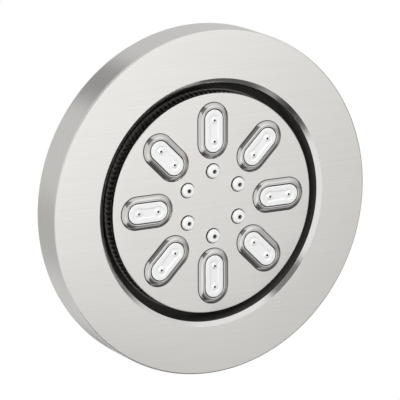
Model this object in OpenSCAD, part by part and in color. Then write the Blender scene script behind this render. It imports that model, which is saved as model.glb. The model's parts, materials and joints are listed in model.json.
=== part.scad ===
// Ceiling shower head with a swivelling spray face.
// +Z is up and the origin is the middle of the ceiling opening, in the plane of the ceiling,
// so the spray face looks down at z = -ring_h.

/* [Spray face] */
// Diameter of the spray plate
face_d = 95.6; // [94:0.2:104]
// Thickness of the spray plate
plate_t = 1.2; // [0.8:0.1:1.8]
// Radius on the visible edge of the spray plate
plate_edge_r = 0.4; // [0.2:0.1:0.6]
// Thickness of the soft nozzle mat
mat_t = 1.6; // [1.2:0.1:2.4]
// Thickness of the distributor plate
distributor_t = 2; // [1.6:0.1:3]
// Thickness of the flat chamber seal
chamber_seal_t = 0.5; // [0.4:0.1:1]
// Height of the water chamber at its rim
chamber_h = 1.1; // [0.8:0.1:2]
// Wall of the head shell
shell_t = 1.8; // [1.4:0.1:2.2]
// Rise of the shell from its shoulder to its neck
shell_rise = 1.4; // [1:0.1:2]

/* [Knurled ring] */
// Number of ribs round the spray face
knurl_n = 138; // [60:2:160]
// Depth of the ribs
knurl_depth = 0.6; // [0.3:0.05:0.9]
// How far the rib crests stand out from the spray plate's edge
knurl_proud = 0.4; // [0:0.1:0.6]
// Height of the shadow groove behind the spray plate
groove_h = 0.6; // [0.4:0.1:1]
// Depth of the shadow groove
groove_depth = 1; // [0.6:0.1:1.4]
// Height of the plain lip behind the ribs
lip_h = 0.7; // [0.5:0.1:1.2]
// How far the lip stands out from the spray plate's edge
lip_proud = 0.7; // [0.4:0.1:0.9]

/* [Nozzle pads] */
// Number of pads
pad_n = 8; // [6:1:8]
// Distance from the bezels to the edge of the spray plate
pad_margin = 3.7; // [3.4:0.05:6]
// Length of the white pad
pad_len = 18.4; // [17.8:0.1:18.8]
// Width of the white pad
pad_w = 8.5; // [8:0.1:8.7]
// Distance between the two outlets of a pad
outlet_gap = 9.2; // [8.4:0.1:9.6]
// How far the pad stands out of the spray plate
pad_h = 1.5; // [1.2:0.1:2.4]
// Depth of the dog-bone channel
channel_depth = 0.35; // [0.2:0.05:0.6]
// Width of the channel between the outlets
channel_w = 4.1; // [3:0.1:4.6]
// Diameter of the round end of the channel
channel_end_d = 4.9; // [4.4:0.1:6]
// Diameter of the outlet hole
outlet_d = 1; // [0.8:0.1:1.4]
// How far the outlet's small cone stands out of the pad's rim
outlet_rise = 0.35; // [0.2:0.05:0.6]
// Width of the bezel at its foot
bezel_w = 14.8; // [14:0.1:15]
// Height of the bezel's round shoulder
bezel_h = 0.9; // [0.7:0.05:1.4]
// How far the bead stands above the shoulder
bead_rise = 0.25; // [0.15:0.05:0.5]
// Diameter of the bead round the pad
bead_d = 0.8; // [0.7:0.1:1]
// Running gap between the pad and its bezel
pad_gap = 0.3; // [0.2:0.05:0.4]

/* [Centre nozzles] */
// Number of single nozzles
nozzle_n = 6; // [4:1:6]
// Distance from their holes to the bezels
nozzle_margin = 1.85; // [1.2:0.05:6]
// Diameter of their holes in the spray plate
nozzle_hole_d = 6.8; // [6.4:0.1:7.4]
// Diameter of a nozzle at its foot
nozzle_foot_d = 5.8; // [5.2:0.1:6]
// Diameter of a nozzle at its tip
nozzle_tip_d = 4.8; // [4:0.1:5]
// How far a nozzle stands out of the spray plate
nozzle_h = 1.8; // [1.4:0.1:2.6]
// Diameter of a nozzle's outlet
nozzle_bore_d = 1.9; // [1.4:0.1:2.2]

/* [Trim ring] */
// Gap between the spray face and the ring's bevel
gap_w = 4.2; // [3.8:0.1:6]
// Width of the polished bevel
bevel_w = 2; // [1:0.1:3]
// Depth of the polished bevel
bevel_h = 1.3; // [0.8:0.1:1.7]
// Width of the ring's flat face
band_w = 21; // [20:0.5:30]
// Depth of the ring from its face to the ceiling
ring_h = 16; // [15:0.5:20]
// Thickness of the ring's face
ring_face_t = 2; // [1.8:0.1:3]
// Wall of the ring's outer side
ring_wall_t = 2.2; // [1.6:0.1:3]
// Radius of the ring's outer edge
ring_edge_r = 0.7; // [0.3:0.1:1.2]
// Wall of the skirt that centres the bowl
skirt_t = 1.6; // [1.2:0.1:2]

/* [Swivel bowl] */
// Wall of the bowl
bowl_t = 2; // [1.6:0.1:3]
// Least gap between the swinging face and the bowl's wall
swing_gap = 1.2; // [1:0.1:3]
// Radius between the bowl's wall and its floor
bowl_corner_r = 5; // [3:0.5:8]
// Thickness of the rim that sits on the trim ring
bowl_rim_t = 1.6; // [1.2:0.1:2.4]
// Distance of the bowl screws from the middle
bowl_screw_r = 32; // [26:1:40]
// Diameter of the bowl screws
bowl_screw_d = 3; // [2.5:0.5:4]

/* [Ball joint] */
// Diameter of the ball
ball_d = 16; // [15:0.5:17]
// Distance from the back of the head to the ball's centre
neck_len = 14.2; // [14.2:0.1:18]
// Largest tilt of the spray face, to either side
tilt_max = 10; // [6:1:10]
// Diameter of the stem below the ball
stem_d = 10; // [9:0.5:10.5]
// Diameter of the waterway through the ball
stem_bore_d = 7.6; // [6:0.2:7.8]
// Diameter of the journal that the head turns on
journal_d = 12; // [11.6:0.2:13]
// Running clearance of the ball and the journal, on the radius
run_gap = 0.06; // [0.03:0.01:0.1]

/* [Inlet] */
// Diameter of the female inlet socket, a half-inch pipe thread at its crests
socket_d = 18.63; // [16:0.01:19]
// Depth of the inlet socket under its chamfer
socket_len = 13.2; // [10:0.2:18]
// Diameter of the brass body's outside thread
body_d = 28; // [27.5:0.5:30]
// Width across the flats of the inlet hexagon
inlet_hex = 24; // [23:0.5:24]
// Width across the flats of the locknut
locknut_hex = 36; // [34:0.5:40]
// Diameter of the retaining nut
nut_d = 33.6; // [33:0.2:36]

/* [Mounting frame] */
// Thickness of the flange against the ceiling
flange_t = 3; // [2.5:0.1:4]
// Thickness of the gasket on the flange
gasket_t = 1; // [0.5:0.1:1.5]
// Wall of the recessed can
can_t = 2.4; // [2:0.1:3.4]
// Thickness of the frame's top plate
top_t = 2.4; // [2:0.1:4]
// Number of ribs on the top plate
rib_n = 8; // [4:4:12]
// Height of the ribs
rib_h = 3; // [2:0.5:5]
// Distance of the fixing holes from the can
fixing_inset = 6.6; // [6:0.1:8]
// Diameter of the fixing holes
fixing_d = 4.8; // [4:0.1:5.5]
// Thickness of the O-ring that holds the trim ring
oring_t = 1.7; // [1.2:0.1:2]

/* [Hidden] */
$fn = 96;
eps = 0.01;
seat_gap = 0.3;
nut_gap = 0.5;
fixing_n = 4;
bowl_screw_n = 4;

// Spray head, from the face up
face_r = face_d / 2;
face_z = -ring_h;
plate_z = face_z + plate_t;
distributor_z = plate_z + mat_t;
chamber_z = distributor_z + distributor_t;
shell_rim_z = chamber_z + chamber_seal_t;
shoulder_z = shell_rim_z + chamber_h + shell_t;
neck_z = shoulder_z + shell_rise;
thread_r = face_r - knurl_depth - 1.75;
flange_in_r = thread_r - 1.1;
shoulder_r = thread_r - 1.4;
neck_r = journal_d / 2 + 4;
knurl_z = plate_z + groove_h;
lip_z = shell_rim_z + 1;
lip_r = face_r + lip_proud;
lip_top_z = lip_z + lip_h;
ball_z = neck_z + neck_len;

// Pads and bezels
pad_straight = pad_len - pad_w;
pad_mid_r = face_r - pad_margin - (pad_straight + bezel_w) / 2;
nozzle_mid_r = pad_mid_r - (pad_straight + bezel_w + nozzle_hole_d) / 2 - nozzle_margin;
pad_r = pad_w / 2;
pad_flange_t = 0.7;
pad_flange_w = 0.7;
collar_in_r = pad_r + pad_gap;
collar_out_r = collar_in_r + bead_d;
bezel_r = bezel_w / 2;
bezel_foot_z = distributor_z - pad_flange_t - 0.05;
feed_d = outlet_d + 2;

// Trim ring, outward from the spray face
mouth_r = face_r + gap_w;
open_r = mouth_r + bevel_w;
ring_r = open_r + band_w;
ring_in_r = ring_r - ring_wall_t;
seat_z = face_z + ring_face_t;

// Bowl: wide enough for the edge of the tilted face, high enough for the back of the head
swing_r = face_r * cos(tilt_max) + (ball_z - face_z) * sin(tilt_max);
swing_z = ball_z + shoulder_r * sin(tilt_max) - (ball_z - shoulder_z) * cos(tilt_max);
bowl_r = ceil(max(swing_r + swing_gap, mouth_r + 0.5));
bowl_out_r = bowl_r + bowl_t;
floor_z = ceil(swing_z + 2);
bowl_rim_r = bowl_out_r + 0.6;

// Ball socket
ball_r = ball_d / 2;
cavity_r = ball_r + 2.4;
skirt_z = ball_z - 4.5;
collar_z = ball_z + 2.2;
top_z = ball_z + 4;
cavity_z = ball_z + 7;
seat_low_z = ball_z - 4.6;
seat_high_z = ball_z - 0.5;
seal_z = ball_z + 4.2;
nut_low_z = ball_z - ball_r - 2;
nut_high_z = collar_z - 0.2;
throat_r = cavity_r / 2 - 0.2;
regulator_z = cavity_z + 4;
regulator_h = 5;
regulator_r = throat_r + 1;
regulator_hole_r = 0.6 * regulator_r;
strainer_z = regulator_z + 7;
strainer_t = 1.8;
strainer_r = socket_d / 2 - 0.8;
socket_z = strainer_z + strainer_t + 0.2;
inlet_chamfer = 0.8;
inlet_z = socket_z + socket_len + inlet_chamfer;
body_r = body_d / 2;
collar_r = body_r + 6;
plate_top_z = top_z + top_t;
washer_t = 1;
locknut_h = 6;
hex_z = plate_top_z + washer_t + locknut_h + 1;

// Frame
can_in_r = bowl_out_r + 1;
can_r = can_in_r + can_t;
flange_low_z = -gasket_t - flange_t;
flange_r = ring_in_r - 0.4;
fixing_r = can_r + fixing_inset;
groove_r = flange_r - oring_t + 0.15;
oring_r = (groove_r + ring_in_r) / 2;
oring_wire_r = oring_t / 2 - 0.05;
boss_r = bowl_screw_d / 2 + 2;

// Neck
journal_r = journal_d / 2;
stem_r = stem_d / 2;
stem_flange_t = 1.6;
stem_flange_z = neck_z + 0.1;
boss_low_z = shell_rim_z + 0.9;
clip_t = 0.6;
clip_z = boss_low_z - 0.15 - clip_t;
stem_low_z = clip_z - 0.5;
stem_oring_t = 1;

// Copies its children n times round the vertical axis
module ring_of(n, r, start = 0) {
    for (i = [0:n - 1]) {
        rotate([0, 0, start + i * 360 / n]) translate([r, 0, 0]) children();
    }
}

// A straight tube from z1 to z2
module tube(r_out, r_in, z1, z2) {
    rotate_extrude() {
        translate([r_in, z1]) square([r_out - r_in, z2 - z1]);
    }
}

// Sweeps a half section round an oblong: two half turns and two straight sides, along X
module oblong_sweep(length) {
    for (side = [-1, 1]) {
        translate([side * length / 2, 0, 0]) rotate([0, 0, -90 * side])
            rotate_extrude(angle = 180) children();
        translate([-length / 2, 0, 0]) rotate([90, 0, 90]) linear_extrude(length)
            mirror([side < 0 ? 1 : 0, 0]) children();
    }
}

// A plain oblong prism from z1 to z2, along X
module oblong(length, r, z1, z2) {
    translate([0, 0, z1]) linear_extrude(z2 - z1) {
        translate([-length / 2, -r]) square([length, 2 * r]);
        for (side = [-1, 1]) translate([side * length / 2, 0]) circle(r);
    }
}

// A hexagonal prism with its corners turned off at both ends
module hexagon(flats, z1, z2) {
    corner = flats / sqrt(3);
    drop = (corner - flats / 2) / 2;
    intersection() {
        translate([0, 0, z1]) cylinder(r = corner, h = z2 - z1, $fn = 6);
        rotate_extrude() polygon([
            [0, z1], [flats / 2, z1], [corner, z1 + drop],
            [corner, z2 - drop], [flats / 2, z2], [0, z2]
        ]);
    }
}

// Frame

module mounting_frame() {
    color("dimgray") difference() {
        union() {
            rotate_extrude() polygon([
                [can_in_r, flange_low_z], [flange_r, flange_low_z], [flange_r, -gasket_t],
                [can_r, -gasket_t], [can_r, plate_top_z], [body_r + 0.4, plate_top_z],
                [body_r + 0.4, top_z], [can_in_r, top_z]
            ]);
            for (i = [0:rib_n - 1]) rotate([0, 0, (i + 0.5) * 360 / rib_n])
                translate([collar_r + 5, -1, plate_top_z - eps])
                    cube([can_r - collar_r - 6, 2, rib_h]);
            ring_of(bowl_screw_n, bowl_screw_r, 45)
                translate([0, 0, floor_z + bowl_t]) cylinder(r = boss_r, h = top_z - floor_z);
        }
        tube(flange_r + 1, groove_r, groove_low_z(), groove_low_z() + oring_t);
        ring_of(fixing_n, fixing_r, 45)
            translate([0, 0, flange_low_z - 1]) cylinder(d = fixing_d, h = flange_t + 2);
        ring_of(bowl_screw_n, bowl_screw_r, 45)
            translate([0, 0, floor_z]) cylinder(d = bowl_screw_d + 0.1, h = screw_len() + 1);
    }
}

function groove_low_z() = flange_low_z + (flange_t - oring_t) / 2;

module ceiling_gasket() {
    color("black") difference() {
        tube(flange_r - 1, can_r + 0.3, -gasket_t, 0);
        ring_of(fixing_n, fixing_r, 45)
            translate([0, 0, -gasket_t - 1]) cylinder(d = fixing_d, h = gasket_t + 2);
    }
}

module trim_ring() {
    skirt_r = bowl_rim_r + seat_gap;
    color("silver") rotate_extrude() {
        polygon([
            [open_r, face_z], [ring_r - ring_edge_r, face_z], [ring_r, face_z + ring_edge_r],
            [ring_r, 0], [ring_in_r, 0], [ring_in_r, seat_z],
            [skirt_r + skirt_t, seat_z], [skirt_r + skirt_t, flange_low_z - 0.2],
            [skirt_r, flange_low_z - 0.2], [skirt_r, seat_z],
            [mouth_r, seat_z], [mouth_r, face_z + bevel_h]
        ]);
        translate([ring_r - ring_edge_r, face_z + ring_edge_r]) circle(ring_edge_r);
    }
}

module trim_oring() {
    color("black") rotate_extrude()
        translate([oring_r, groove_low_z() + oring_t / 2]) circle(oring_wire_r);
}

module swivel_bowl() {
    color([0.09, 0.09, 0.1]) difference() {
        rotate_extrude() difference() {
            union() {
                translate([mouth_r + 0.2, seat_z]) square([bowl_rim_r - mouth_r - 0.2, bowl_rim_t]);
                bowl_outline(bowl_out_r, floor_z + bowl_t, bowl_corner_r + bowl_t);
            }
            translate([0, -bowl_rim_t]) bowl_outline(bowl_r, floor_z + bowl_rim_t, bowl_corner_r);
            translate([0, seat_z - 1]) square([mouth_r + 0.2, bowl_rim_t + 1]);
            square([nut_d / 2 + nut_gap, floor_z + bowl_t + 1]);
        }
        ring_of(bowl_screw_n, bowl_screw_r, 45) {
            translate([0, 0, floor_z - 1]) cylinder(d = bowl_screw_d + 0.4, h = bowl_t + 2);
            translate([0, 0, floor_z - eps])
                cylinder(d1 = 2 * bowl_screw_d + 0.4, d2 = bowl_screw_d + 0.4, h = bowl_t - 0.4);
        }
    }
}

// Half section of a round pan, open below, with a rounded upper corner
module bowl_outline(r, z, corner) {
    translate([0, seat_z]) square([r, z - corner - seat_z]);
    translate([0, seat_z]) square([r - corner, z - seat_z]);
    translate([r - corner, z - corner]) circle(corner);
}

function screw_len() = top_z - floor_z - 2;

module bowl_screw(i) {
    head_h = bowl_t - 0.5;
    color("silver") rotate([0, 0, 45 + (i - 1) * 360 / bowl_screw_n])
        translate([bowl_screw_r, 0, floor_z + 0.05]) difference() {
            union() {
                cylinder(d1 = 2 * bowl_screw_d, d2 = bowl_screw_d, h = head_h);
                cylinder(d = bowl_screw_d, h = screw_len());
            }
            for (a = [0, 90]) rotate([0, 0, a])
                translate([-bowl_screw_d / 2, -0.3, -1]) cube([bowl_screw_d, 0.6, 1.8]);
        }
}

// Inlet and ball socket

module inlet_body() {
    color("goldenrod") difference() {
        union() {
            tube(body_r, 0, skirt_z, hex_z);
            tube(collar_r, 0, collar_z, top_z);
            hexagon(inlet_hex, hex_z - 2, inlet_z);
        }
        tube(cavity_r, 0, skirt_z - 1, cavity_z);
        tube(throat_r, 0, cavity_z - 1, regulator_z + 1);
        tube(regulator_r, 0, regulator_z, strainer_z + 1);
        tube(strainer_r + 0.1, 0, strainer_z, socket_z + 1);
        tube(socket_d / 2, 0, socket_z, inlet_z + 1);
        translate([0, 0, inlet_z - inlet_chamfer])
            cylinder(r1 = socket_d / 2, r2 = socket_d / 2 + inlet_chamfer, h = inlet_chamfer + eps);
    }
}

module inlet_washer() {
    color("silver") tube(collar_r, body_r + 0.2, plate_top_z, plate_top_z + washer_t);
}

module inlet_locknut() {
    low = plate_top_z + washer_t;
    color("goldenrod") difference() {
        hexagon(locknut_hex, low, low + locknut_h);
        tube(body_r + 0.05, 0, low - 1, low + locknut_h + 1);
    }
}

module inlet_strainer() {
    color("silver") difference() {
        union() {
            tube(strainer_r, strainer_r - 2, strainer_z, strainer_z + strainer_t);
            tube(strainer_r - 1, 0, strainer_z + 0.6, strainer_z + 1.1);
        }
        translate([0, 0, strainer_z - 1]) for (k = [1:3])
            ring_of(6 * k, k * (strainer_r - 2.8) / 3) cylinder(d = 0.9, h = strainer_t + 2, $fn = 16);
    }
}

module flow_regulator() {
    color("white") difference() {
        tube(regulator_r - 0.15, 0, regulator_z, regulator_z + regulator_h);
        tube(regulator_r - 1.2, 1, regulator_z + 2, regulator_z + regulator_h + 1);
        ring_of(6, regulator_hole_r) translate([0, 0, regulator_z - 1])
            cylinder(d = 1.6, h = regulator_h, $fn = 24);
    }
}

module ball_seal() {
    color("black") difference() {
        tube(cavity_r - 0.1, throat_r, seal_z, cavity_z);
        translate([0, 0, ball_z]) sphere(ball_r + seat_gap / 3);
    }
}

module seat_ring() {
    color("whitesmoke") difference() {
        tube(cavity_r - run_gap, 0, seat_low_z, seat_high_z);
        translate([0, 0, ball_z]) sphere(ball_r + run_gap);
    }
}

module retaining_nut() {
    lip_z = seat_low_z - 0.05;
    lip_in_r = sqrt(pow(ball_r + 0.3, 2) - pow(ball_z - lip_z, 2));
    mouth_in_r = stem_r / cos(tilt_max) + (ball_z - nut_low_z) * tan(tilt_max) + 1;
    color("goldenrod") difference() {
        tube(nut_d / 2, 0, nut_low_z, nut_high_z);
        tube(body_r + 0.05, 0, lip_z, nut_high_z + 1);
        translate([0, 0, nut_low_z - eps])
            cylinder(r1 = max(mouth_in_r, lip_in_r), r2 = lip_in_r, h = lip_z - nut_low_z + 2 * eps);
        ring_of(6, nut_d / 2) translate([0, 0, nut_low_z - 1]) cylinder(r = 1.2, h = 4);
    }
}

module ball_stem() {
    color("gold") difference() {
        union() {
            translate([0, 0, ball_z]) sphere(ball_r);
            tube(stem_r, 0, stem_flange_z, ball_z);
            hexagon(journal_d + 2, stem_flange_z, stem_flange_z + stem_flange_t);
            tube(journal_r, 0, stem_low_z, stem_flange_z + eps);
        }
        tube(stem_bore_d / 2, 0, stem_low_z - 1, ball_z + ball_r + 1);
        tube(journal_r + 1, journal_r - stem_oring_t + 0.1, oring_low_z(), oring_low_z() + stem_oring_t + 0.2);
        tube(journal_r + 1, journal_r - 0.8, clip_z, clip_z + clip_t + 0.05);
        for (a = [0, 90]) rotate([0, 0, a])
            translate([-journal_r - 1, -1.2, stem_low_z - 1]) cube([2 * journal_r + 2, 2.4, 1.4]);
    }
}

function oring_low_z() = stem_flange_z - 2.4;

module stem_oring() {
    wire_r = (stem_oring_t - 0.1) / 2;
    color("black") rotate_extrude()
        translate([journal_r - wire_r, oring_low_z() + stem_oring_t / 2 + 0.1]) circle(wire_r);
}

module stem_clip() {
    color("silver") rotate([0, 0, 20]) rotate_extrude(angle = 320)
        translate([journal_r - 0.75, clip_z]) square([1.9, clip_t]);
}

// Spray head

module head_shell() {
    bore_r = journal_r + run_gap;
    color([0.16, 0.16, 0.17]) rotate_extrude() polygon([
        [bore_r, boss_low_z], [neck_r - 1, boss_low_z], [neck_r - 1, neck_z - shell_t],
        [neck_r, neck_z - shell_t], [shoulder_r - 1, shoulder_z - shell_t],
        [thread_r - 2, shoulder_z - shell_t - 1], [thread_r - 2, shell_rim_z],
        [thread_r - 0.05, shell_rim_z], [thread_r - 0.05, shoulder_z - 1.4],
        [shoulder_r, shoulder_z], [neck_r + 6, neck_z], [bore_r, neck_z]
    ]);
}

module chamber_seal() {
    color("black") tube(thread_r - 0.2, thread_r - 1.9, chamber_z, shell_rim_z);
}

module distributor() {
    color("lightgray") difference() {
        tube(thread_r - 0.1, 0, distributor_z, chamber_z);
        tube(neck_r, 0, chamber_z - 1, chamber_z + 1);
        pad_places() outlet_places() feed_hole(distributor_z);
        nozzle_places() feed_hole(distributor_z);
    }
}

module feed_hole(z) {
    translate([0, 0, z - 1]) cylinder(d = feed_d, h = distributor_t + 2, $fn = 48);
}

module pad_places() {
    ring_of(pad_n, pad_mid_r) children();
}

module nozzle_places() {
    ring_of(nozzle_n, nozzle_mid_r, 90) children();
}

module outlet_places() {
    for (side = [-1, 1]) translate([side * outlet_gap / 2, 0, 0]) children();
}

module nozzle_mat() {
    color("white") difference() {
        union() {
            tube(flange_in_r - 0.2, 0, plate_z, distributor_z);
            nozzle_places() nozzle_cone();
        }
        pad_places() oblong(pad_straight, collar_out_r + 0.2, plate_z - 1, distributor_z + 1);
        nozzle_places() {
            translate([0, 0, face_z - nozzle_h - 1])
                cylinder(d = nozzle_bore_d, h = nozzle_h + plate_t + mat_t + 2);
            translate([0, 0, plate_z - 0.2])
                cylinder(d1 = nozzle_bore_d, d2 = feed_d, h = mat_t + 0.2 + eps);
        }
    }
}

// A soft cone nozzle with a straight root and a rounded tip
module nozzle_cone() {
    tip_round = 0.8;
    rotate_extrude() {
        polygon([
            [0, plate_z + eps], [nozzle_foot_d / 2, plate_z + eps], [nozzle_foot_d / 2, face_z],
            [nozzle_tip_d / 2, face_z - nozzle_h + tip_round],
            [nozzle_tip_d / 2 - tip_round, face_z - nozzle_h], [0, face_z - nozzle_h]
        ]);
        translate([nozzle_tip_d / 2 - tip_round, face_z - nozzle_h + tip_round]) circle(tip_round);
    }
}

module knurled_ring() {
    crest_r = face_r + knurl_proud;
    root_r = crest_r - knurl_depth;
    rib_points = [for (i = [0:2 * knurl_n - 1])
        let (r = i % 2 == 0 ? crest_r : root_r, a = i * 180 / knurl_n) [r * cos(a), r * sin(a)]];
    color("gray") union() {
        tube(face_r - groove_depth, flange_in_r, plate_z, knurl_z);
        translate([0, 0, knurl_z]) linear_extrude(lip_z - knurl_z) difference() {
            polygon(rib_points);
            circle(thread_r);
        }
        tube(lip_r, thread_r, lip_z, lip_top_z);
        tube(thread_r + eps, flange_in_r, plate_z, distributor_z);
    }
}

module spray_plate() {
    color("silver") difference() {
        rotate_extrude() {
            polygon([
                [0, face_z], [face_r - plate_edge_r, face_z], [face_r, face_z + plate_edge_r],
                [face_r, plate_z], [0, plate_z]
            ]);
            translate([face_r - plate_edge_r, face_z + plate_edge_r]) circle(plate_edge_r);
        }
        pad_places() oblong(pad_straight, collar_out_r + 0.05, face_z - 1, plate_z + 1);
        nozzle_places() translate([0, 0, face_z - 1]) cylinder(d = nozzle_hole_d, h = plate_t + 2);
    }
}

// Half section of a bezel: a round shoulder, a groove, a bead round the pad and a collar through the plate
module bezel_section() {
    bead_mid = collar_in_r + bead_d / 2;
    crest = collar_out_r + (bezel_r - collar_out_r) / 3;
    land = bezel_r - crest;
    round_r = (land * land + bezel_h * bezel_h) / (2 * bezel_h);
    bead_z = face_z - bezel_h - bead_rise + bead_d / 2;
    intersection() {
        translate([crest, face_z - bezel_h + round_r]) circle(round_r);
        translate([bead_mid, face_z - bezel_h]) square([bezel_r - bead_mid, bezel_h]);
    }
    translate([collar_in_r, bead_z]) square([bead_d, bezel_foot_z - bead_z]);
    translate([bead_mid, bead_z]) circle(bead_d / 2);
}

module bezel(i) {
    color("lightsteelblue") rotate([0, 0, (i - 1) * 360 / pad_n]) translate([pad_mid_r, 0, 0])
        oblong_sweep(pad_straight) bezel_section();
}

// Half section of a pad: a soft body with a rounded rim and a flange that the bezel's collar holds
module pad_section() {
    rim_round = 0.4;
    low = face_z - pad_h;
    translate([0, low + rim_round]) square([pad_r, distributor_z - low - rim_round]);
    translate([0, low]) square([pad_r - rim_round, rim_round + eps]);
    translate([pad_r - rim_round, low + rim_round]) circle(rim_round);
    translate([0, distributor_z - pad_flange_t]) square([pad_r + pad_flange_w, pad_flange_t]);
}

module pad(i) {
    low = face_z - pad_h;
    color("white") rotate([0, 0, (i - 1) * 360 / pad_n]) translate([pad_mid_r, 0, 0]) {
        difference() {
            oblong_sweep(pad_straight) pad_section();
            oblong(outlet_gap, channel_w / 2, low - 1, low + channel_depth);
            outlet_places() translate([0, 0, low - 1])
                tube(channel_end_d / 2, 0, 0, 1 + channel_depth);
            outlet_places() translate([0, 0, low - 1])
                cylinder(d = outlet_d, h = distributor_z - low + 2);
            outlet_places() translate([0, 0, low + channel_depth + 0.8])
                cylinder(d = feed_d, h = distributor_z - low);
        }
        outlet_places() translate([0, 0, low - outlet_rise]) difference() {
            cylinder(d1 = outlet_d + 0.8, d2 = outlet_d + 1.6, h = outlet_rise + channel_depth + 0.05);
            translate([0, 0, -1]) cylinder(d = outlet_d, h = 3);
        }
    }
}

mounting_frame();
ceiling_gasket();
trim_ring();
trim_oring();
swivel_bowl();
for (i = [1:bowl_screw_n]) bowl_screw(i);
inlet_body();
inlet_washer();
inlet_locknut();
inlet_strainer();
flow_regulator();
ball_seal();
retaining_nut();
seat_ring();
ball_stem();
stem_oring();
stem_clip();
head_shell();
chamber_seal();
distributor();
nozzle_mat();
knurled_ring();
spray_plate();
for (i = [1:pad_n]) bezel(i);
for (i = [1:pad_n]) pad(i);
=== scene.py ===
import json
import math

import bmesh
import bpy
from mathutils import Matrix, Vector


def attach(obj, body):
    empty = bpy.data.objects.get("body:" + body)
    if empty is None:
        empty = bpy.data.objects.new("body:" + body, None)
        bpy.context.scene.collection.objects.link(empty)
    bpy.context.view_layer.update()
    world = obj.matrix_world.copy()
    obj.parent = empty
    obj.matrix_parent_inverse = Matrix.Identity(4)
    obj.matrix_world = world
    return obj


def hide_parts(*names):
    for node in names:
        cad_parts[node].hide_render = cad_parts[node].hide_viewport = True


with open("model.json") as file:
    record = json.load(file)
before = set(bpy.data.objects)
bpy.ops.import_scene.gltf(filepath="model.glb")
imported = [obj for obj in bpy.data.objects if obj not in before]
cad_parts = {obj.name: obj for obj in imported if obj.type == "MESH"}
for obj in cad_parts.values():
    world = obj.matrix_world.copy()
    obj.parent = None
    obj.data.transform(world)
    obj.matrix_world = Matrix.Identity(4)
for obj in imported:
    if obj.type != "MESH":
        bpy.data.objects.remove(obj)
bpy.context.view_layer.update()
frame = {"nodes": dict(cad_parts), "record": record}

# Sizes in millimetres, the same as in the part's source
MM = 0.001
FACE_R, FACE_Z, PLATE_Z, DISTRIBUTOR_Z = 47.8, -16.0, -14.8, -13.2
PAD_N, PAD_MID_R, PAD_STRAIGHT, PAD_R = 8, 31.75, 9.9, 4.25
PAD_H, PAD_RIM, PAD_FLANGE_R, PAD_FLANGE_T = 1.5, 0.4, 4.95, 0.7
OUTLET_X, OUTLET_R, OUTLET_RISE = 4.6, 0.5, 0.35
CHANNEL_DEPTH, CHANNEL_HALF_W, CHANNEL_END_R = 0.35, 2.05, 2.45
COLLAR_IN_R, COLLAR_OUT_R, BEZEL_R, BEAD_R, BEAD_RISE, BEZEL_FOOT_Z = 4.55, 5.35, 7.4, 0.4, 0.25, -13.95
NOZZLE_MID_R, NOZZLE_HOLE_R, NOZZLE_BORE_R = 14.15, 3.4, 0.95
RIBS, CREST_R, ROOT_R, KNURL_Z, LIP_Z, LIP_TOP_Z, LIP_R = 138, 48.2, 47.6, -14.2, -9.7, -9.0, 48.5
GROOVE_R, THREAD_R, MAT_R = 46.8, 45.45, 44.35
OPEN_R, MOUTH_R, RING_R, RING_IN_R, SEAT_Z, BEVEL_Z = 54.0, 52.0, 75.0, 72.8, -14.0, -14.7
SKIRT_IN_R, SKIRT_OUT_R, SKIRT_TOP_Z = 55.9, 57.5, -4.2

# Sizes in millimetres of the scene's own finer shapes
BEZEL_SHOULDER_H, BEZEL_SEAM, PAD_LIT = 1.03, 0.3, 0.55
CONE_MOUTH_R, CONE_TIP_R, CONE_EDGE_R, CONE_FOOT_R, CONE_ROUND = 0.58, 0.78, 0.92, 1.3, 0.1
NOZZLE_NECK_R, NOZZLE_FLARE, NOZZLE_SPREAD, NOZZLE_CORE_R = 2.0, 0.45, 0.4, 1.2


# Materials

def value(node, name, number):
    node.inputs[name].default_value = number


class Look:
    """A material with a Principled shader, and short calls for the nodes that drive it."""

    def __init__(self, name, color, rough, metal=0.0):
        self.mat = bpy.data.materials.new(name)
        self.mat.use_nodes = True
        self.tree = self.mat.node_tree
        self.shader = self.tree.nodes["Principled BSDF"]
        value(self.shader, "Base Color", (*color, 1))
        value(self.shader, "Roughness", rough)
        value(self.shader, "Metallic", metal)
        self.color = color

    def node(self, kind, **inputs):
        """A node with its inputs linked or set, each by its name, or by its number as i0, i1 and so on."""
        made = self.tree.nodes.new(kind)
        for name, what in inputs.items():
            by_number = name[0] == "i" and name[1:].isdigit()
            socket = made.inputs[int(name[1:]) if by_number else name]
            if isinstance(what, bpy.types.NodeSocket):
                self.tree.links.new(what, socket)
            else:
                socket.default_value = what
        return made

    def link(self, out, name):
        self.tree.links.new(out, self.shader.inputs[name])

    def noise(self, scale, stretch=(1, 1, 1), detail=3.0, rough=0.55):
        """Noise in object space. scale is in cells a metre, stretch multiplies it along each axis."""
        where = self.node("ShaderNodeTexCoord").outputs["Object"]
        place = self.node("ShaderNodeMapping", Vector=where, Scale=tuple(scale * s for s in stretch)).outputs[0]
        made = self.node("ShaderNodeTexNoise", Vector=place, Scale=1.0, Detail=detail, Roughness=rough)
        return made.outputs["Fac"]

    def spread(self, fac, low, high):
        made = self.node("ShaderNodeMapRange", Value=fac)
        value(made, "From Min", 0.3)
        value(made, "From Max", 0.7)
        value(made, "To Min", low)
        value(made, "To Max", high)
        return made.outputs[0]

    def tint(self, fac, amount):
        """Colour that varies with fac by the given share."""
        made = self.node("ShaderNodeMix")
        made.data_type = "RGBA"
        self.tree.links.new(fac, made.inputs[0])
        made.inputs[6].default_value = (*[c * (1 - amount) for c in self.color], 1)
        made.inputs[7].default_value = (*[min(1, c * (1 + amount)) for c in self.color], 1)
        self.link(made.outputs[2], "Base Color")

    def bump(self, height, strength, distance):
        made = self.node("ShaderNodeBump", Height=height, Strength=strength, Distance=distance)
        self.link(made.outputs[0], "Normal")


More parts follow.
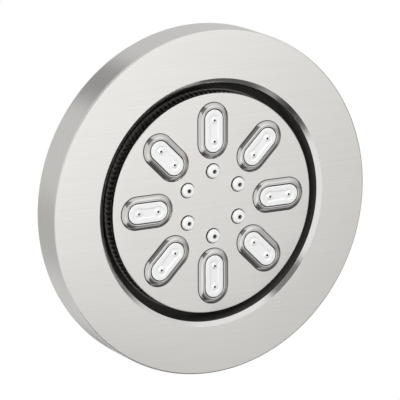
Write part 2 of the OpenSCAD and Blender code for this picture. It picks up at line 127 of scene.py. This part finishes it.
def brushed(name, color, rough, stretch):
    """Satin metal with fine straight lines along the axis whose stretch is smallest."""
    look = Look(name, color, rough, metal=1.0)
    lines = look.noise(9000, stretch, detail=4.0, rough=0.7)
    wide = look.noise(160, (0.3, 1, 1), detail=2.0)
    look.tint(look.noise(1700, stretch, detail=3.0, rough=0.6), 0.065)
    both = look.node("ShaderNodeMath", i0=lines, i1=wide)
    both.operation = "MULTIPLY"
    look.link(look.spread(both.outputs[0], rough - 0.05, rough + 0.06), "Roughness")
    look.bump(lines, 0.12, 0.00002)
    return look.mat


def polished(name, color, rough):
    look = Look(name, color, rough, metal=1.0)
    smudge = look.noise(220, detail=5.0)
    look.link(look.spread(smudge, rough * 0.8, rough * 1.25), "Roughness")
    look.tint(look.noise(60), 0.02)
    return look.mat


def moulded(name, color, rough, grain=0.00003, cells=2600):
    """Plastic or rubber with a fine moulded grain, of the given depth in metres and cells a metre."""
    look = Look(name, color, rough)
    fine = look.noise(cells, detail=3.0)
    look.tint(look.noise(45, detail=4.0), 0.05)
    look.link(look.spread(look.noise(150, detail=4.0), rough - 0.05, rough + 0.06), "Roughness")
    look.bump(fine, 0.35, grain)
    return look.mat


FACE_METAL = (0.795, 0.775, 0.752)
MAT_FACE = brushed("brushed_face", FACE_METAL, 0.36, (0.012, 1, 1))
MAT_SIDE = brushed("brushed_side", FACE_METAL, 0.30, (0.02, 0.02, 1))
MAT_BEVEL = polished("polished_bevel", (0.76, 0.745, 0.73), 0.16)
MAT_BEZEL = polished("polished_bezel", (0.61, 0.595, 0.58), 0.13)
MAT_KNURL = polished("dark_knurl", (0.28, 0.27, 0.26), 0.32)
# Near-black painted shadow on the spray plate's rim wall, standing in for the shadowed gap between the plate
# and the knurled ring
MAT_EDGE_SHADE = polished("plate_edge_painted_shade", (0.06, 0.058, 0.056), 0.4)
MAT_BLACK = moulded("black_plastic", (0.15, 0.145, 0.14), 0.4)
MAT_WHITE = moulded("white_silicone", (0.9, 0.905, 0.9), 0.5, grain=0.00001, cells=3000)
# Near-black painted shade for the bezels' collar gaps and foot seams, the pads' bores and collar walls, and the
# nozzle mat's backing round its nozzles, where the real parts lie in shadow
MAT_PAINTED_SHADE = moulded("painted_shade", (0.03, 0.03, 0.03), 0.5)
# Grey painted shade inside the nozzles' bores
MAT_BORE_SHADE = moulded("shaded_bore", (0.36, 0.36, 0.36), 0.6)
MAT_GREY = moulded("grey_plastic", (0.16, 0.16, 0.165), 0.55)
MAT_PALE = moulded("pale_plastic", (0.72, 0.72, 0.71), 0.45)
MAT_RUBBER = moulded("black_rubber", (0.02, 0.02, 0.02), 0.65)
MAT_BRASS = brushed("turned_brass", (0.72, 0.54, 0.28), 0.28, (0.05, 0.05, 1))
MAT_BALL = polished("ball_chrome", (0.75, 0.75, 0.75), 0.1)
MAT_STEEL = brushed("bright_steel", (0.6, 0.6, 0.59), 0.3, (0.1, 1, 1))

SLOT_MATERIAL = {
    "brushed_nickel": MAT_FACE, "dark_steel": MAT_KNURL, "polished_chrome": MAT_BEZEL,
    "white_silicone": MAT_WHITE, "black_plastic": MAT_BLACK, "grey_plastic": MAT_GREY,
    "pale_plastic": MAT_PALE, "black_rubber": MAT_RUBBER, "brass": MAT_BRASS,
    "ball_chrome": MAT_BALL, "spring_steel": MAT_STEEL,
}


# Shapes

def rounded(points, steps=5):
    """Closed outline from (x, y, corner radius) points."""
    out = []
    for i, (x, y, radius) in enumerate(points):
        if radius == 0:
            out.append((x, y))
            continue
        here = Vector((x, y))
        back = (Vector(points[i - 1][:2]) - here).normalized()
        ahead = (Vector(points[(i + 1) % len(points)][:2]) - here).normalized()
        half = back.angle(ahead) / 2
        middle = here + (back + ahead).normalized() * (radius / math.sin(half))
        start = here + back * (radius / math.tan(half)) - middle
        a = math.atan2(start.y, start.x)
        end = here + ahead * (radius / math.tan(half)) - middle
        turn = (math.atan2(end.y, end.x) - a + math.pi) % (2 * math.pi) - math.pi
        for k in range(steps + 1):
            b = a + turn * k / steps
            out.append((middle.x + radius * math.cos(b), middle.y + radius * math.sin(b)))
    return out


def arc(x, y, radius, start, end, steps):
    out = []
    for k in range(steps + 1):
        a = math.radians(start + (end - start) * k / steps)
        out.append((x + radius * math.cos(a), y + radius * math.sin(a)))
    return out


def skin(rows, closed=True):
    """Faces between rows of the same number of vertices, each row a closed loop."""
    n = len(rows[0])
    verts = [v for row in rows for v in row]
    faces = []
    for k in range(len(rows) if closed else len(rows) - 1):
        m = (k + 1) % len(rows)
        for i in range(n):
            j = (i + 1) % n
            faces.append((k * n + i, k * n + j, m * n + j, m * n + i))
    return verts, faces


def lathe(outline, n, centre=(0, 0)):
    rows = []
    for r, z in outline:
        rows.append([
            (centre[0] + r * math.cos(2 * math.pi * i / n), centre[1] + r * math.sin(2 * math.pi * i / n), z)
            for i in range(n)
        ])
    return skin(rows)


def oblong_path(straight, arc_steps, side_steps=1):
    """Points of the oblong's centre line, each with the outward direction there."""
    out = []
    for side in (1, -1):
        for k in range(arc_steps + 1):
            a = math.radians(180 * k / arc_steps - 90 * side)
            out.append((side * straight / 2, math.cos(a), math.sin(a)))
        for k in range(1, side_steps):
            x = side * straight * (0.5 - k / side_steps)
            out.append((x, 0, side))
    return out


def make(name, parts, body, mats, nodes, sharp=32, pick=None):
    """One piece from (vertices, faces) parts in millimetres. pick gives a face's material index."""
    mesh = bpy.data.meshes.new(name)
    verts, faces = [], []
    for part_verts, part_faces in parts:
        base = len(verts)
        verts += [(x * MM, y * MM, z * MM) for x, y, z in part_verts]
        faces += [tuple(base + i for i in face) for face in part_faces]
    mesh.from_pydata(verts, [], faces)
    finish_mesh(name, mesh, body, mats, nodes, sharp, pick)


def finish_mesh(name, mesh, body, mats, nodes, sharp, pick):
    """Gives the mesh its materials and smooth normals, and makes it the piece that replaces the nodes."""
    work = bmesh.new()
    work.from_mesh(mesh)
    bmesh.ops.remove_doubles(work, verts=work.verts, dist=1e-6)
    bmesh.ops.dissolve_degenerate(work, edges=work.edges, dist=1e-7)
    bmesh.ops.recalc_face_normals(work, faces=work.faces)
    work.to_mesh(mesh)
    work.free()
    mesh.materials.clear()
    for mat in mats:
        mesh.materials.append(mat)
    for face in mesh.polygons:
        face.use_smooth = True
        face.material_index = pick(face.center / MM, face.normal) if pick else 0
    mesh.set_sharp_from_angle(angle=math.radians(sharp))
    piece = bpy.data.objects.new(name, mesh)
    bpy.context.scene.collection.objects.link(piece)
    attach(piece, body)
    even = piece.modifiers.new("even", "WEIGHTED_NORMAL")
    even.mode = "FACE_AREA_WITH_ANGLE"
    even.weight = 90
    even.keep_sharp = True
    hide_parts(*nodes)


def turned(verts, angle, radius):
    """Moves vertices out along X, then turns them round the vertical axis."""
    c, s = math.cos(angle), math.sin(angle)
    return [((x + radius) * c - y * s, (x + radius) * s + y * c, z) for x, y, z in verts]


# Trim ring

def build_ring():
    outline = rounded([
        (OPEN_R, FACE_Z, 0.12), (RING_R, FACE_Z, 0.7), (RING_R, 0, 0.15), (RING_IN_R, 0, 0.1),
        (RING_IN_R, SEAT_Z, 0.3), (SKIRT_OUT_R, SEAT_Z, 0.3), (SKIRT_OUT_R, SKIRT_TOP_Z, 0.1),
        (SKIRT_IN_R, SKIRT_TOP_Z, 0.1), (SKIRT_IN_R, SEAT_Z, 0), (MOUTH_R, SEAT_Z, 0.1),
        (MOUTH_R, BEVEL_Z, 0.12),
    ])

    def pick(centre, normal):
        r = math.hypot(centre.x, centre.y)
        if r < OPEN_R:
            return 2
        return 1 if r > RING_R - 0.35 and centre.z > FACE_Z + 0.3 else 0

    make("ring_dressed", [lathe(outline, 360)], "housing",
         [MAT_FACE, MAT_SIDE, MAT_BEVEL], nodes=["trim_ring"], pick=pick)


# Spray face

def build_knurl():
    per_rib = 10
    n = RIBS * per_rib

    def loop(r, z, depth=0.0):
        row = []
        for i in range(n):
            wave = 0.5 - 0.5 * math.cos(2 * math.pi * i / per_rib)
            q = r - depth * wave ** 0.8
            a = 2 * math.pi * i / n
            row.append((q * math.cos(a), q * math.sin(a), z))
        return row

    depth = CREST_R - ROOT_R
    rows = [
        loop(MAT_R, PLATE_Z), loop(GROOVE_R, PLATE_Z), loop(GROOVE_R, KNURL_Z),
        loop(ROOT_R - 0.05, KNURL_Z), loop(CREST_R - 0.2, KNURL_Z + 0.03, depth * 0.7),
        loop(CREST_R, KNURL_Z + 0.25, depth), loop(CREST_R, LIP_Z, depth),
        loop(LIP_R - 0.1, LIP_Z + 0.01), loop(LIP_R, LIP_Z + 0.1), loop(LIP_R, LIP_TOP_Z - 0.1),
        loop(LIP_R - 0.1, LIP_TOP_Z), loop(THREAD_R, LIP_TOP_Z), loop(THREAD_R, DISTRIBUTOR_Z),
        loop(MAT_R, DISTRIBUTOR_Z),
    ]
    make("knurl_dressed", [skin(rows)], "spray_head", [MAT_KNURL], nodes=["knurled_ring"])


def build_bezels():
    """A bead round the pad, a round shoulder between two tilts in degrees, and a thin near-black strip of
    painted shadow at its foot.
    """
    mid = (COLLAR_IN_R + COLLAR_OUT_R) / 2
    inner, outer = 10, 36
    bead_z = FACE_Z - BEZEL_SHOULDER_H - BEAD_RISE + BEAD_R
    land = BEZEL_R - BEZEL_SEAM - COLLAR_OUT_R
    round_r = land / (math.sin(math.radians(outer)) - math.sin(math.radians(inner)))
    round_x = COLLAR_OUT_R - round_r * math.sin(math.radians(inner))
    round_z = FACE_Z - BEZEL_SHOULDER_H + round_r * math.cos(math.radians(inner))
    outline = [(COLLAR_IN_R, BEZEL_FOOT_Z)]
    outline += arc(mid, bead_z, BEAD_R, -180, -5, 14)
    outline += arc(round_x, round_z, round_r, inner - 90, outer - 90, 20)
    outline += [(BEZEL_R - BEZEL_SEAM, FACE_Z - 0.03), (BEZEL_R, FACE_Z - 0.02), (BEZEL_R, FACE_Z)]
    outline += [(COLLAR_OUT_R, FACE_Z), (COLLAR_OUT_R, BEZEL_FOOT_Z)]
    path = oblong_path(PAD_STRAIGHT, 40)
    rows = [[(x + u * c, u * s, z) for x, c, s in path] for u, z in outline]
    verts, faces = skin(rows)
    for i in range(PAD_N):
        angle = 2 * math.pi * i / PAD_N
        along = Vector((math.cos(angle), math.sin(angle)))

        def pick(centre, normal, along=along):
            out = centre.to_2d() - along * PAD_MID_R
            out -= along * min(PAD_STRAIGHT / 2, max(-PAD_STRAIGHT / 2, out.dot(along)))
            # Faces outside the polished band get painted shade: the collar's inner wall next to the pad and the
            # seam at the foot
            polished = COLLAR_IN_R + 0.01 <= out.length <= BEZEL_R - BEZEL_SEAM - 0.01
            return 0 if polished else 1

        make(f"bezel_{i + 1}_dressed", [(turned(verts, angle, PAD_MID_R), faces)],
             "spray_head", [MAT_BEZEL, MAT_PAINTED_SHADE], nodes=[f"bezel_{i + 1}"], pick=pick)


def step(x, low, high):
    t = min(1, max(0, (x - low) / (high - low)))
    return t * t * (3 - 2 * t)


def pad_height(x, y):
    """How far the pad's end face stands out of the spray plate at a point, with its dog-bone channel."""
    end = math.hypot(abs(x) - OUTLET_X, y)
    bone = min(end - CHANNEL_END_R, max(abs(y) - CHANNEL_HALF_W, abs(x) - OUTLET_X))
    return PAD_H - CHANNEL_DEPTH * (1 - step(bone, -0.3, 0.05))


def build_pads():
    """Each pad is one oblong skin, with a small raised cone on each outlet."""
    path = oblong_path(PAD_STRAIGHT, 48, 72)
    flat_r = PAD_R - PAD_RIM
    rows = []
    rounds = 34
    for k in range(rounds + 1):
        u = flat_r * k / rounds
        row = []
        for x, c, s in path:
            px, py = x + u * c, u * s
            row.append((px, py, FACE_Z - pad_height(px, py)))
        rows.append(row)
    low = FACE_Z - PAD_H
    around = arc(flat_r, low + PAD_RIM, PAD_RIM, -90, 0, 7)[1:]
    around += [(PAD_R, DISTRIBUTOR_Z - PAD_FLANGE_T), (PAD_FLANGE_R, DISTRIBUTOR_Z - PAD_FLANGE_T),
               (PAD_FLANGE_R, DISTRIBUTOR_Z), (0, DISTRIBUTOR_Z)]
    for u, z in around:
        rows.append([(x + u * c, u * s, z) for x, c, s in path])
    verts, faces = skin(rows, closed=False)
    tip, floor = low - OUTLET_RISE, low + CHANNEL_DEPTH
    sunk = floor + 0.05
    cone = [
        (OUTLET_R, sunk), (OUTLET_R, tip + CONE_MOUTH_R - OUTLET_R), (CONE_MOUTH_R, tip), (CONE_TIP_R, tip),
        (CONE_EDGE_R, tip + CONE_ROUND), (CONE_FOOT_R, floor), (CONE_FOOT_R, sunk),
    ]
    outlets = [lathe(cone, 32, (side * OUTLET_X, 0)) for side in (-1, 1)]
    for i in range(PAD_N):
        angle = 2 * math.pi * i / PAD_N
        along = Vector((math.cos(angle), math.sin(angle)))
        ends = [(PAD_MID_R + side * OUTLET_X) * along for side in (-1, 1)]

        def pick(centre, normal, ends=ends):
            away = min((centre.to_2d() - end).length for end in ends)
            # Painted shade on the bores, the hidden faces under each cone and the collar walls above PAD_LIT
            in_bore = away < OUTLET_R + 0.02
            under_cone = away < CONE_EDGE_R - 0.02 and abs(centre.z - floor) < 0.02
            in_collar = abs(normal.z) < 0.2 and low + PAD_LIT < centre.z < DISTRIBUTOR_Z - PAD_FLANGE_T
            return 1 if in_bore or under_cone or in_collar else 0

        parts = [(turned(v, angle, PAD_MID_R), f) for v, f in [(verts, faces)] + outlets]
        make(f"pad_{i + 1}_dressed", parts, "spray_head", [MAT_WHITE, MAT_PAINTED_SHADE],
             sharp=50, nodes=[f"pad_{i + 1}"], pick=pick)


# The CAD's own shapes

def dress(node, materials, sharp=30, pick=None, move=None):
    """A smooth-shaded copy of a CAD node, in its own material. move shifts its vertices a little."""
    mesh = frame["nodes"][node].data.copy()
    if move:
        for vert in mesh.vertices:
            vert.co = move(vert.co / MM) * MM
    body = next(b for b, nodes in frame["record"]["behaviour"]["bodies"].items() if node in nodes)
    finish_mesh(node + "_dressed", mesh, body, materials, [node], sharp, pick)


def build_plate():
    # The plate's steep outer rim faces get the near-black painted shadow; the rest is brushed face metal
    def pick(centre, normal):
        return 1 if abs(normal.z) < 0.35 and centre.length > FACE_R else 0

    dress("spray_plate", [MAT_FACE, MAT_EDGE_SHADE], pick=pick)


def build_mat():
    """White cones, wider above the plate and slim in their holes, with grey painted shade in their bores and
    near-black painted shade on the backing round them.
    """
    angles = [math.radians(90 + 60 * k) for k in range(6)]
    places = [(NOZZLE_MID_R * math.cos(a), NOZZLE_MID_R * math.sin(a)) for a in angles]

    def move(at):
        x, y = min(places, key=lambda place: math.hypot(at.x - place[0], at.y - place[1]))
        away = math.hypot(at.x - x, at.y - y)
        if not NOZZLE_CORE_R < away < NOZZLE_HOLE_R or at.z > PLATE_Z + 0.005:
            return at
        in_hole = at.z > FACE_Z - 0.1
        wanted = NOZZLE_NECK_R + NOZZLE_FLARE * (PLATE_Z - at.z) if in_hole else away + NOZZLE_SPREAD
        share = wanted / away
        return Vector((x + (at.x - x) * share, y + (at.y - y) * share, at.z))

    def pick(centre, normal):
        away = min(math.hypot(centre.x - x, centre.y - y) for x, y in places)
        # Painted shade: grey in the bores, near-black on the backing at the plate's level round each nozzle
        if away < NOZZLE_BORE_R + 0.02:
            return 2
        return 1 if abs(centre.z - PLATE_Z) < 0.05 else 0

    dress("nozzle_mat", [MAT_WHITE, MAT_PAINTED_SHADE, MAT_BORE_SHADE], pick=pick, move=move)


build_ring()
build_plate()
build_mat()
build_knurl()
build_bezels()
build_pads()
for part in frame["record"]["subparts"]:
    cad = frame["nodes"][part["node"]]
    if not cad.hide_render:
        dress(part["node"], [SLOT_MATERIAL[part["material_slot"]]])


# Studio

def floor_material():
    """Pale, and white to the camera, to gloss and to glass."""
    mat = bpy.data.materials.new("floor")
    mat.use_nodes = True
    nodes, links = mat.node_tree.nodes, mat.node_tree.links
    pale = nodes["Principled BSDF"]
    value(pale, "Base Color", (0.85, 0.85, 0.85, 1))
    value(pale, "Roughness", 0.9)
    paths = nodes.new("ShaderNodeLightPath")
    add = nodes.new("ShaderNodeMath")
    add.operation = "MAXIMUM"
    links.new(paths.outputs["Is Camera Ray"], add.inputs[0])
    links.new(paths.outputs["Is Glossy Ray"], add.inputs[1])
    more = nodes.new("ShaderNodeMath")
    more.operation = "MAXIMUM"
    links.new(add.outputs[0], more.inputs[0])
    links.new(paths.outputs["Is Transmission Ray"], more.inputs[1])
    glow = nodes.new("ShaderNodeEmission")
    mix = nodes.new("ShaderNodeMixShader")
    links.new(more.outputs[0], mix.inputs[0])
    links.new(pale.outputs[0], mix.inputs[1])
    links.new(glow.outputs[0], mix.inputs[2])
    links.new(mix.outputs[0], nodes["Material Output"].inputs[0])
    return mat


def build_floor():
    size, z = 3.6, -3.0
    mesh = bpy.data.meshes.new("floor")
    corners = [(-size, -size, z), (size, -size, z), (size, size, z), (-size, size, z)]
    mesh.from_pydata(corners, [], [(0, 1, 2, 3)])
    floor = bpy.data.objects.new("floor", mesh)
    bpy.context.scene.collection.objects.link(floor)
    mesh.materials.append(floor_material())


def build_world():
    """White to the camera. Other rays see a soft grey room with a few dim patches, each (direction, outer and
    inner angle in degrees, level)."""
    world = bpy.data.worlds.new("studio")
    bpy.context.scene.world = world
    world.use_nodes = True
    nodes, links = world.node_tree.nodes, world.node_tree.links
    where = nodes.new("ShaderNodeTexCoord").outputs["Generated"]

    def ramp(source, low, high, at_low, at_high):
        made = nodes.new("ShaderNodeMapRange")
        made.interpolation_type = "SMOOTHSTEP"
        links.new(source, made.inputs["Value"])
        for name, number in (("From Min", low), ("From Max", high), ("To Min", at_low), ("To Max", at_high)):
            value(made, name, number)
        return made.outputs[0]

    split = nodes.new("ShaderNodeSeparateXYZ")
    links.new(where, split.inputs[0])
    level = ramp(split.outputs[2], -0.2, 0.5, ROOM_LOW, ROOM_HIGH)
    for direction, outer, inner, share in DIM_PATCHES:
        edge, core = math.cos(math.radians(outer)), math.cos(math.radians(inner))
        toward = nodes.new("ShaderNodeVectorMath")
        toward.operation = "DOT_PRODUCT"
        links.new(where, toward.inputs[0])
        toward.inputs[1].default_value = Vector(direction).normalized()
        patch = ramp(toward.outputs["Value"], edge, core, 1, share)
        product = nodes.new("ShaderNodeMath")
        product.operation = "MULTIPLY"
        links.new(level, product.inputs[0])
        links.new(patch, product.inputs[1])
        level = product.outputs[0]
    paths = nodes.new("ShaderNodeLightPath")
    mix = nodes.new("ShaderNodeMix")
    mix.data_type = "FLOAT"
    links.new(paths.outputs["Is Camera Ray"], mix.inputs[0])
    links.new(level, mix.inputs[2])
    mix.inputs[3].default_value = 1.0
    links.new(mix.outputs[0], nodes["Background"].inputs["Strength"])
    nodes["Background"].inputs["Color"].default_value = (1, 1, 1, 1)


def card(name, place, normal, across, width, height, levels):
    """A reflector or flag that only gloss sees. levels gives its brightness at two sides, and across points
    from the first of them to the second."""
    mesh = bpy.data.meshes.new(name)
    w, h = width / 2, height / 2
    mesh.from_pydata([(-w, -h, 0), (w, -h, 0), (w, h, 0), (-w, h, 0)], [], [(0, 1, 2, 3)])
    made = bpy.data.objects.new(name, mesh)
    bpy.context.scene.collection.objects.link(made)
    mat = bpy.data.materials.new(name)
    mat.use_nodes = True
    nodes, links = mat.node_tree.nodes, mat.node_tree.links
    nodes.remove(nodes["Principled BSDF"])
    glow = nodes.new("ShaderNodeEmission")
    where = nodes.new("ShaderNodeTexCoord")
    split = nodes.new("ShaderNodeSeparateXYZ")
    links.new(where.outputs["Object"], split.inputs[0])
    ramp = nodes.new("ShaderNodeMapRange")
    links.new(split.outputs[0], ramp.inputs["Value"])
    for socket, number in (("From Min", -w), ("From Max", w), ("To Min", levels[0]), ("To Max", levels[1])):
        value(ramp, socket, number)
    links.new(ramp.outputs[0], glow.inputs[1])
    links.new(glow.outputs[0], nodes["Material Output"].inputs[0])
    mesh.materials.append(mat)
    out = Vector(normal).normalized()
    side = (Vector(across) - Vector(across).dot(out) * out).normalized()
    spin = Matrix((side, out.cross(side), out)).transposed().to_4x4()
    made.matrix_world = Matrix.Translation(place) @ spin
    for rays in ("camera", "diffuse", "transmission", "shadow", "volume_scatter"):
        setattr(made, "visible_" + rays, False)


def lamp(name, place, size, watts):
    """A soft round lamp that gloss doesn't see, aimed at the spray face."""
    data = bpy.data.lights.new(name, "AREA")
    data.shape = "DISK"
    data.size = size
    data.energy = watts
    made = bpy.data.objects.new(name, data)
    bpy.context.scene.collection.objects.link(made)
    made.location = place
    made.rotation_euler = (Vector((0, 0, -0.01)) - Vector(place)).to_track_quat("-Z", "Y").to_euler()
    made.visible_camera = False
    made.visible_glossy = False


ROOM_LOW, ROOM_HIGH = 0.82, 0.66
DIM_PATCHES = [
    ((0.55, 0.83, -0.1), 44, 22, 0.14),
    ((0.99, 0.05, 0), 28, 6, 0.07),
    ((-0.22, 0.816, -0.535), 20, 6, 0.15),
    ((-0.152, -0.505, 0.85), 13, 4, 0.4),
    ((-0.422, 0.316, 0.85), 17, 6, 0.75),
    ((0.36, 0.38, 0.85), 14, 4, 0.5),
]
# Where the flat faces, the bezels' lower left sides and their upper left sides mirror to
MIRROR_WAY = Vector((0.4708, 0.2373, -0.8497))
LOW_WAY = Vector((0.07, 0.64, -0.765))
LENS_WAY = Vector((-0.2, -0.45, -0.87))

build_floor()
build_world()
card("face_card", 0.45 * MIRROR_WAY, -MIRROR_WAY, (-0.82, -0.57, 0), 0.5, 0.6, (0.33, 1.52))
card("low_flag", 0.4 * LOW_WAY, -LOW_WAY, (-0.37, 0.3, 0.2), 0.23, 0.17, (0.25, 0.03))
card("lens_flag", LENS_WAY, -LENS_WAY, (-0.415, -0.415, 0.333), 0.85, 0.39, (0.33, 0.15))
lamp("key", (-0.6, -0.4, -0.5), 0.5, 3.2)
lamp("fill", (0.1, -0.8, -0.9), 0.6, 2.7)


# Camera

CAMERA_DISTANCE, CAMERA_LENS = 1.4, 296.7
AIM_RIGHT, AIM_UP = -0.0055, 0.00145


def build_camera():
    """Looks from below at a point near the spray face's middle. Distances are in metres."""
    away = Vector((-0.4693, -0.2374, -0.8505)).normalized()
    right = Vector((0.8752, 0.0028, -0.4838)).normalized()
    up = away.cross(right)
    target = Vector((0, 0, FACE_Z * MM)) + AIM_RIGHT * right + AIM_UP * up
    data = bpy.data.cameras.new("camera")
    data.sensor_width = 36
    data.lens = CAMERA_LENS
    data.clip_end = 50
    camera = bpy.data.objects.new("camera", data)
    bpy.context.scene.collection.objects.link(camera)
    spin = Matrix((right, up, away)).transposed().to_4x4()
    camera.matrix_world = Matrix.Translation(target + CAMERA_DISTANCE * away) @ spin
    bpy.context.scene.camera = camera


build_camera()
bpy.context.scene.view_settings.view_transform = "Standard"

bpy.context.view_layer.update()
